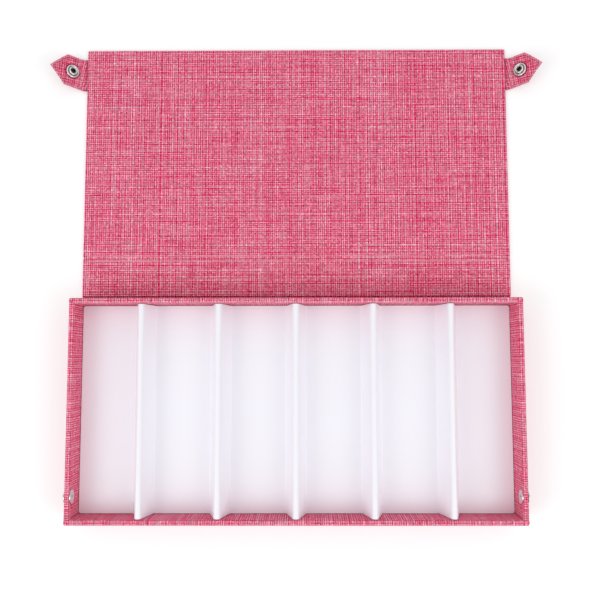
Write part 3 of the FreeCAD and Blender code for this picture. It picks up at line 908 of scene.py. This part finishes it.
def cloth_tab(name, side, cloth, settings):
    """Tab of two plies: the inner ply stops short of the turned edge of the outer one."""
    lid_gap, tip_gap, shoulder_span, same_side = 0.3 * MM, 0.2 * MM, MM, 0.01 * MM
    soft_share, ply_edge, columns = 0.2, 0.07 * MM, 30
    root_step, bend_step, flat_step, shoulder_step = MM, 0.3 * MM, 0.6 * MM, 0.2 * MM
    patch_size, patch_seed, wear_patches, seam_groove_patches = 3 * MM, 4.0 + side, 0.4, 0.3
    turned_edge, turned_wear = 0.3 * MM, 1.6
    # Painted shade along the inner ply's edge, and painted shadow of the lid's edge at the tab's root
    seam_groove_darkness, seam_groove_width = 0.75, 0.28 * MM
    root_shadow_darkness, root_start, root_fade = 0.6, 0.2 * MM, 0.4 * MM
    press_place, press_width = 0.3 * MM, 0.5 * MM
    low, high = corners_of(on_tab(name, side, "snap_socket"))
    socket, flange = (low + high) / 2, (high.y - low.y) / 2
    fold, lift, bend = fold_point(f"{name}_tab_fold"), tab_lift(), settings.bend
    reach = abs(fold.x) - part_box("lid_cloth")[1].x - lid_gap
    straight = Matrix.Rotation(-math.atan2(socket.y, socket.x), 4, "Z")
    ply = [straight @ p for p in on_tab(name, side, "tab_inner_ply")]
    tip, half = max(p.x for p in ply), max(p.y for p in ply)
    shoulder = max(p.x for p in ply if p.y > half - same_side)
    out, side_step = reach + socket.x, side * socket.y + settings.root_shift
    end_step = settings.root_shift + settings.tip_shift
    bow = (end_step - side_step * (reach + tip) / out) / ((reach + tip) * (reach + tip - out))
    pitch = side_step / out - bow * out
    slope = math.atan2(half, tip - shoulder)
    bend_end = Vector((math.cos(lift), math.sin(lift))) * bend

    def half_width(s):
        pointed = max(0.0, (tip - s) * math.tan(slope))
        soft = settings.corner_round
        return min(half, pointed) - soft * soft_share * bell(s - shoulder, soft)

    def edge_distance(s, t):
        return min(half - abs(t), ((tip - s) * math.tan(slope) - abs(t)) * math.cos(slope))

    def lifted(s, t, n):
        """Point at s along the tab, t across and n out of it, past the bend that starts at the lid."""
        if s < -reach:
            place, ahead = Vector((s, 0)), Vector((1, 0))
        elif s > bend:
            place, ahead = bend_end * s / bend, bend_end.normalized()
        else:
            k = (s + reach) / (reach + bend)
            start = Vector((-reach, 0))
            place = start * (1 - k) ** 2 + bend_end * k ** 2
            ahead = (bend_end * k - start * (1 - k)).normalized()
        place += Vector((-ahead.y, ahead.x)) * n
        return Vector((fold.x + side * place.x, fold.y + side * t, fold.z + place.y))

    def leaning(s, t):
        """The tab leans from its root towards the lid's front and straightens towards its tip."""
        along = s + reach
        turn = math.atan(pitch + 2 * bow * max(0.0, along))
        middle = pitch * along + bow * max(0.0, along) ** 2 - settings.root_shift
        return s - side * t * math.sin(turn), side * middle + t * math.cos(turn)

    wear, seam = [], []

    def place(s, v, top):
        """Point of the tab's shell; its wear and its painted shade are kept in the same order."""
        t = v * half_width(s)
        along, across = leaning(s, t)
        distance = max(0.0, edge_distance(s, t))
        on_tab_proper = s > -reach
        patches = ripple((s, t, top), patch_size, patch_seed)
        border = settings.border_wear * (1 - wear_patches + wear_patches * patches)
        border *= turned_wear if distance < turned_edge else 1.0
        wear.append(border if distance < settings.seam and on_tab_proper else 0.0)

        # Painted shade: a dark line along the inner ply's edge, painted shadow at the root, and painted shade
        # round the socket's flange
        seam_groove_shade = seam_groove_darkness * bell(distance - settings.seam, seam_groove_width)
        seam_groove_shade *= 1 - seam_groove_patches + seam_groove_patches * patches
        root_shadow = root_shadow_darkness * math.exp(-max(0.0, along + reach - root_start) / root_fade)
        from_flange = (Vector((along, across)) - socket.xy).length - flange
        pressed = bell(from_flange - press_place, press_width)
        dark = max(seam_groove_shade if on_tab_proper else 0.0, root_shadow, settings.press_painted_shade * pressed)
        seam.append(dark if top > 0 else 0.0)

        full = min(1.0, distance / cloth.thickness)
        thick = cloth.thickness * math.sqrt(1 - (1 - full) ** 2)
        if top > 0:
            inside = 1 / (1 + math.exp(-(distance - settings.seam) / ply_edge))
            thick -= settings.ply_step * (1 - inside) * full + settings.press * pressed
        return lifted(along, across, thick * top)

    steps = [math.sin(math.pi / 2 * k / columns) for k in range(-columns, columns + 1)]
    outline = [Vector((v, 1.0 if abs(v) < 1 else 0.0)) for v in steps]
    outline += [Vector((v, -1.0)) for v in reversed(steps[1:-1])]
    before, after = shoulder - shoulder_span, shoulder + shoulder_span
    runs = (stations(-reach - settings.root, -reach, root_step)[:-1] + stations(-reach, bend, bend_step)[:-1]
            + stations(bend, before, flat_step)[:-1] + stations(before, after, shoulder_step)[:-1]
            + stations(after, tip - tip_gap, bend_step))
    piece = swept(f"{name}_cloth_tab", runs, outline, place)
    for loop, item in zip(piece.data.loops, piece.data.uv_layers[UV_MAP].data):
        item.uv = (item.uv.x, piece.data.vertices[loop.vertex_index].co.y)
    mark(piece, WEAR_AND_PAINTED_LIGHT, wear)
    mark(piece, PAINTED_SHADE, seam)
    dress(piece, slub_cloth(cloth))
    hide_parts(f"{name}_tab_root", f"{name}_tab_outer_ply", f"{name}_tab_inner_ply")
    lifted(-reach, 0, 0)
    lifted(bend, 0, 0)
    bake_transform(piece)


def socket_profile(snap, flange, height):
    """Socket: rolled rim, trough and a hub round the bore, grooved for the spring."""
    foot_round, roll_round = 0.2 * MM, 0.5 * MM
    trough = flange - snap.rim_width
    groove = snap.bore_radius + GROOVE_DEPTH
    spring_top, spring_low = height - HUB_LIP, height - GROOVE_FLOOR
    return rounded([(snap.shank_radius, 0, 0), (flange, 0, foot_round),
                    (flange, snap.rim_height, roll_round), (trough, snap.rim_height, roll_round),
                    (trough, snap.base, 0), (snap.hub_radius, snap.base, 0),
                    (snap.hub_radius, height, roll_round), (snap.bore_radius, height, roll_round),
                    (snap.bore_radius, spring_top, 0), (groove, spring_top, 0),
                    (groove, spring_low, 0), (snap.bore_radius, spring_low, 0),
                    (snap.bore_radius, snap.base, 0), (snap.shank_radius, snap.base, 0)])


def cap_profile(snap, radius, face):
    """Cap on the tab's outer face: a domed cover over a rolled edge, and the shank through to the socket."""
    rise, edge, steps = 0.45 * MM, 0.25 * MM, 9
    floor, lip, lip_round, edge_round = 0.1 * MM, 0.2 * MM, 0.08 * MM, 0.1 * MM
    roll, collar = snap.base + lip, snap.shank_radius + lip
    turns = [math.pi / 2 * i / steps for i in range(steps + 1)]
    dome = [(radius * math.cos(turn), face - edge - rise * math.sin(turn), 0) for turn in turns]
    return rounded([(0, floor, 0), (snap.shank_hole, floor, 0), (snap.shank_hole, roll, lip_round),
                    (collar, roll, lip_round), (collar, snap.base, 0), (snap.shank_radius, snap.base, 0),
                    (snap.shank_radius, face, 0), (radius, face, edge_round)] + dome)


def stud_profile(snap, flange, height):
    """Stud: thin flange, neck and a head that swells and closes in a soft dome."""
    swell, shell, crown = 0.25 * MM, 0.3 * MM, 1.2 * MM
    edge_round, foot_round, neck_round = 0.18 * MM, 0.15 * MM, 0.1 * MM
    head_round, dome_round = 0.12 * MM, 0.35 * MM
    neck_top = height - 0.45 * MM
    hollow = neck_top - shell
    return rounded([(snap.shank_radius, 0, 0), (flange, 0, 0), (flange, snap.flange, edge_round),
                    (snap.neck_radius, snap.flange, foot_round),
                    (snap.neck_radius, neck_top - swell, neck_round),
                    (snap.head_radius, neck_top, head_round), (crown, height, dome_round), (0, height, 0),
                    (0, hollow, 0), (snap.shank_radius, hollow, 0)])


def rivet_profile(snap, flange, wall, end):
    """Tubular rivet: a dished flange with a rolled edge, and its shank through the wall."""
    mouth, slope, swell, swell_radius = 0.3 * MM, 0.3 * MM, 0.05 * MM, 2.0 * MM
    mouth_round, lip_round, swell_round = 0.1 * MM, 0.12 * MM, 0.3 * MM
    slope_round, edge_round = 0.2 * MM, 0.05 * MM
    face = -wall - snap.flange
    return rounded([(snap.shank_hole, face + mouth, mouth_round), (snap.shank_radius, face, lip_round),
                    (swell_radius, face - swell, swell_round), (flange - slope, face, slope_round),
                    (flange, -wall, edge_round), (snap.shank_radius, -wall, 0),
                    (snap.shank_radius, end, 0), (snap.shank_hole, end, 0)])


def wire_ring(name, matrix, radius, wire, height, opening, segments=60, sides=14):
    """Open ring of round wire."""
    around = [2 * math.pi * k / sides for k in range(sides)]
    section = [Vector((math.cos(turn), math.sin(turn))) * wire / 2 for turn in around]
    turns = [opening / 2 + (2 * math.pi - opening) * k / segments for k in range(segments + 1)]

    def place(turn, a, b):
        return matrix @ Vector(((radius + a) * math.cos(turn), (radius + a) * math.sin(turn), height + b))

    return swept(name, turns, section, place)


def shade_paint(p, snap, flange, top):
    """How much shade is painted on the plating: wholly in a socket's bore, partly in its trough, and not
    elsewhere.
    """
    hole, groove, hole_floor = 0.9 * MM, snap.bore_radius + 0.4 * MM, 0.1 * MM
    beside, above = 0.01 * MM, 0.05 * MM
    across = math.hypot(p.x, p.y)
    if p.z < top and (across < hole or across < groove and p.z > hole_floor):
        return 1.0
    in_trough = snap.hub_radius - beside < across < flange - snap.rim_width + beside
    return snap.trough_painted_shade if in_trough and 0 < p.z < snap.base + above else 0.0


def snaps(settings):
    """Turned snap pieces: stud and rivet on each side wall, socket, spring and cap on each tab."""
    wire_roughness, spring_depth, spring_inset = 0.32, 0.8 * MM, 0.1 * MM
    spring_opening = math.radians(50)
    dark = tuple(settings.bore)
    metal = plated_metal("Plated snap", tuple(settings.metal), settings.roughness, dark)
    steel = plated_metal("Spring wire", tuple(settings.spring), wire_roughness, dark)
    for name, side in SIDES:
        low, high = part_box(f"{name}_snap_stud")
        wall_low, wall_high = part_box(f"{name}_wall_cloth")
        shank_low, shank_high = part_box(f"{name}_stud_rivet")
        flange, wall = (high.y - low.y) / 2, wall_high.x - wall_low.x
        shank_end = shank_high.x - wall_high.x if side > 0 else wall_low.x - shank_low.x
        out, up = Vector((side, 0, 0)), Vector((0, 0, 1))
        on_wall = Matrix((up.cross(out), up, out)).transposed().to_4x4()
        on_wall.translation = Vector((wall_high.x if side > 0 else wall_low.x, (low.y + high.y) / 2,
                                      (low.z + high.z) / 2))
        stud = stud_profile(settings, flange, high.x - low.x)
        rivet = rivet_profile(settings, flange, wall, shank_end)

        low, high = corners_of(on_tab(name, side, "snap_socket"))
        base, height, radius = low.z, high.z - low.z, (high.y - low.y) / 2
        seat = tab_frame(name, side) @ Matrix.Translation(((low.x + high.x) / 2, (low.y + high.y) / 2, base))
        cap_low, cap_high = corners_of(on_tab(name, side, "snap_cap"))
        cap = cap_profile(settings, (cap_high.y - cap_low.y) / 2, -2 * base)
        socket = socket_profile(settings, radius, height)
        tab_body = f"{name}_tab"
        pieces = [("stud", stud, on_wall, "snap_stud", "tray"),
                  ("rivet", rivet, on_wall, "stud_rivet", "tray"),
                  ("socket", socket, seat, "snap_socket", tab_body),
                  ("cap", cap, seat, "snap_cap", tab_body)]
        for label, profile, matrix, node, body in pieces:
            piece = turned(f"{name}_{label}", profile, matrix, settings.segments)
            if body == tab_body:
                flat = matrix.inverted()
                # Painted shade in the socket's bore and trough
                mark_by(piece, WEAR_AND_PAINTED_LIGHT, lambda p: shade_paint(flat @ p, settings, radius, height - HUB_LIP))
            dress(piece, metal)
            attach(piece, body)
            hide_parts(f"{name}_{node}")
        spring = wire_ring(f"{name}_spring", seat, settings.bore_radius - spring_inset, settings.wire,
                           height - spring_depth, spring_opening)
        dress(spring, steel)
        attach(spring, tab_body)
        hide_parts(f"{name}_ring_spring")


# Stage

def seen_rays(tree):
    """Light Path node, and 1 for a ray from the camera, also by way of a mirror or glass."""
    path = add(tree, "ShaderNodeLightPath")
    by_way = calc(tree, "MAXIMUM", path.outputs["Is Glossy Ray"], path.outputs["Is Transmission Ray"])
    return path, calc(tree, "MAXIMUM", path.outputs["Is Camera Ray"], by_way)


def floor_material(value):
    """Floor that lights the box with its own colour and shows white to the camera, shadows kept."""
    shown_white, shown_lift = (0.84, 0.84, 0.84), 0.21
    made = bpy.data.materials.new("Pale floor")
    made.use_nodes = True
    tree = made.node_tree
    tree.nodes.remove(tree.nodes["Principled BSDF"])
    seen = seen_rays(tree)[1]
    plain = add(tree, "ShaderNodeBsdfDiffuse", {"Color": opaque(value)})
    white = add(tree, "ShaderNodeBsdfDiffuse", {"Color": opaque(shown_white)})
    lift = add(tree, "ShaderNodeEmission", {"Color": (1.0, 1.0, 1.0, 1.0), "Strength": shown_lift})
    shown = add(tree, "ShaderNodeAddShader", {0: white.outputs[0], 1: lift.outputs[0]})
    both = add(tree, "ShaderNodeMixShader", {0: seen, 1: plain.outputs[0], 2: shown.outputs[0]})
    tree.links.new(both.outputs[0], tree.nodes["Material Output"].inputs["Surface"])
    return made


def pale_floor(value):
    """Wide floor just under the box."""
    reach, gap = 3.0, 0.05 * MM
    corners = [(-reach, -reach, 0), (reach, -reach, 0), (reach, reach, 0), (-reach, reach, 0)]
    floor = new_object("floor", [Vector(c) for c in corners], [(0, 1, 2, 3)], [c[:2] for c in corners])
    floor.location.z = -gap
    floor.data.materials.append(floor_material(value))


def even_sky(settings):
    """Even light, shown white to the camera, and darker near the horizon as the metal mirrors it."""
    horizon_low, horizon_high = 0.18, 0.6
    world = bpy.data.worlds.new("Even sky")
    world.use_nodes = True
    tree = world.node_tree
    path, seen = seen_rays(tree)
    direction = add(tree, "ShaderNodeTexCoord").outputs["Generated"]
    height = add(tree, "ShaderNodeSeparateXYZ", {0: direction}).outputs["Z"]
    mirrored = remap(tree, height, horizon_low, horizon_high, settings.horizon, 1.0)
    glossy = add(tree, "ShaderNodeMix", {0: path.outputs["Is Glossy Ray"], 2: 1.0, 3: mirrored})
    strength = add(tree, "ShaderNodeMix", {0: seen, 2: settings.world_strength, 3: glossy.outputs[0]})
    tree.links.new(strength.outputs[0], tree.nodes["Background"].inputs["Strength"])
    tree.nodes["Background"].inputs["Color"].default_value = (1.0, 1.0, 1.0, 1.0)
    bpy.context.scene.world = world


def soft_lamps(settings):
    """A soft lamp on each side, turned to the box's middle."""
    for (name, side), watts in zip(SIDES, (settings.left_power, settings.right_power)):
        lamp = bpy.data.lights.new(f"{name} lamp", "AREA")
        lamp.size = settings.lamp_size
        lamp.energy = watts
        holder = bpy.data.objects.new(f"{name} lamp", lamp)
        holder.location = settings.lamp_place
        holder.location.x *= side
        holder.rotation_euler = (-holder.location).to_track_quat("-Z", "Y").to_euler()
        bpy.context.scene.collection.objects.link(holder)


def photo_camera(settings):
    """Camera at the photograph's place, looking down with a slight lean."""
    scene = bpy.context.scene
    camera = bpy.data.cameras.new("Camera")
    camera.sensor_width = 36.0
    camera.lens = camera.sensor_width * settings.focal_share
    camera.clip_start = 0.01
    eye = bpy.data.objects.new("Camera", camera)
    forward = Vector((math.sin(settings.camera_turn), math.sin(settings.camera_tilt),
                      -math.cos(settings.camera_tilt))).normalized()
    right = forward.cross(Vector((0, 1, 0))).normalized()
    up = right.cross(forward)
    turn = Matrix.Rotation(settings.camera_roll, 3, -forward)
    eye.matrix_world = (turn @ Matrix((right, up, -forward)).transposed()).to_4x4()
    eye.location = settings.camera_place
    scene.collection.objects.link(eye)
    scene.camera = eye


# Operators, one for each piece or group of like pieces

def settings_of(context):
    return context.scene.bobbin_box


class WallCloth(bpy.types.Operator):
    """Cover the four tray walls with cloth"""
    bl_idname = "bobbin_box.wall_cloth"
    bl_label = "Wall cloth"

    def execute(self, context):
        cloth = settings_of(context).cloth
        # Only the back rim gets the painted highlight
        for name, side, painted_edge_light in (("front", -1, 0.0), ("back", 1, cloth.painted_rim_highlight)):
            covered_wall(f"{name}_wall_cover", f"{name}_wall_cloth", 0, side, cloth, painted_edge_light=painted_edge_light)
        for name, side in SIDES:
            low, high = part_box(f"{name}_snap_stud")
            rivet = Vector(((low.y + high.y) / 2, (low.z + high.z) / 2))
            covered_wall(f"{name}_wall_cover", f"{name}_wall_cloth", 1, side, cloth, rivet)
        return {"FINISHED"}


class CaseCloth(bpy.types.Operator):
    """Cover the base, spine and lid with cloth and line the spine and lid"""
    bl_idname = "bobbin_box.case_cloth"
    bl_label = "Case cloth"

    def execute(self, context):
        settings = settings_of(context)
        base_cover(settings.cloth, settings.lining)
        lid_cover(settings.cloth, settings.lining)
        case_lining(settings.cloth, settings.lining)
        return {"FINISHED"}


class RowInsert(bpy.types.Operator):
    """Form the white insert with its ridges"""
    bl_idname = "bobbin_box.row_insert"
    bl_label = "Row insert"

    def execute(self, context):
        row_insert(settings_of(context).insert)
        return {"FINISHED"}


class ClothTabs(bpy.types.Operator):
    """Make the two cloth tabs"""
    bl_idname = "bobbin_box.cloth_tabs"
    bl_label = "Cloth tabs"

    def execute(self, context):
        settings = settings_of(context)
        for name, side in SIDES:
            cloth_tab(name, side, settings.cloth, settings.tab)
        return {"FINISHED"}


class Snaps(bpy.types.Operator):
    """Turn the studs, rivets, sockets, springs and caps"""
    bl_idname = "bobbin_box.snaps"
    bl_label = "Snaps"

    def execute(self, context):
        snaps(settings_of(context).snap)
        return {"FINISHED"}


class Boards(bpy.types.Operator):
    """Finish the grey boards inside the cloth"""
    bl_idname = "bobbin_box.boards"
    bl_label = "Boards"

    def execute(self, context):
        board = grey_board()
        for name, node in frame["nodes"].items():
            if name.endswith("_board"):
                node.data.materials.clear()
                node.data.materials.append(board)
        return {"FINISHED"}


class Stage(bpy.types.Operator):
    """Set the floor, light and camera"""
    bl_idname = "bobbin_box.stage"
    bl_label = "Stage"

    def execute(self, context):
        settings = settings_of(context).stage
        pale_floor(settings.floor)
        even_sky(settings)
        soft_lamps(settings)
        photo_camera(settings)
        context.scene.view_settings.view_transform = "Standard"
        return {"FINISHED"}


OPERATORS = (WallCloth, CaseCloth, RowInsert, ClothTabs, Snaps, Boards, Stage)


class BobbinBoxPanel(bpy.types.Panel):
    bl_idname = "VIEW3D_PT_bobbin_box"
    bl_label = "Bobbin box"
    bl_space_type = "VIEW_3D"
    bl_region_type = "UI"
    bl_category = "Bobbin box"

    def draw(self, context):
        for operator in OPERATORS:
            self.layout.operator(operator.bl_idname)


CLASSES = (ClothSettings, LiningSettings, InsertSettings, TabSettings, SnapSettings, StageSettings,
           BobbinBoxSettings, *OPERATORS, BobbinBoxPanel)


def register():
    for cls in CLASSES:
        bpy.utils.register_class(cls)
    bpy.types.Scene.bobbin_box = PointerProperty(type=BobbinBoxSettings)


def unregister():
    del bpy.types.Scene.bobbin_box
    for cls in reversed(CLASSES):
        bpy.utils.unregister_class(cls)


def main():
    register()
    bpy.ops.bobbin_box.wall_cloth()
    bpy.ops.bobbin_box.case_cloth()
    bpy.ops.bobbin_box.row_insert()
    bpy.ops.bobbin_box.cloth_tabs()
    bpy.ops.bobbin_box.snaps()
    bpy.ops.bobbin_box.boards()
    bpy.ops.bobbin_box.stage()


if __name__ == "__main__":
    main()
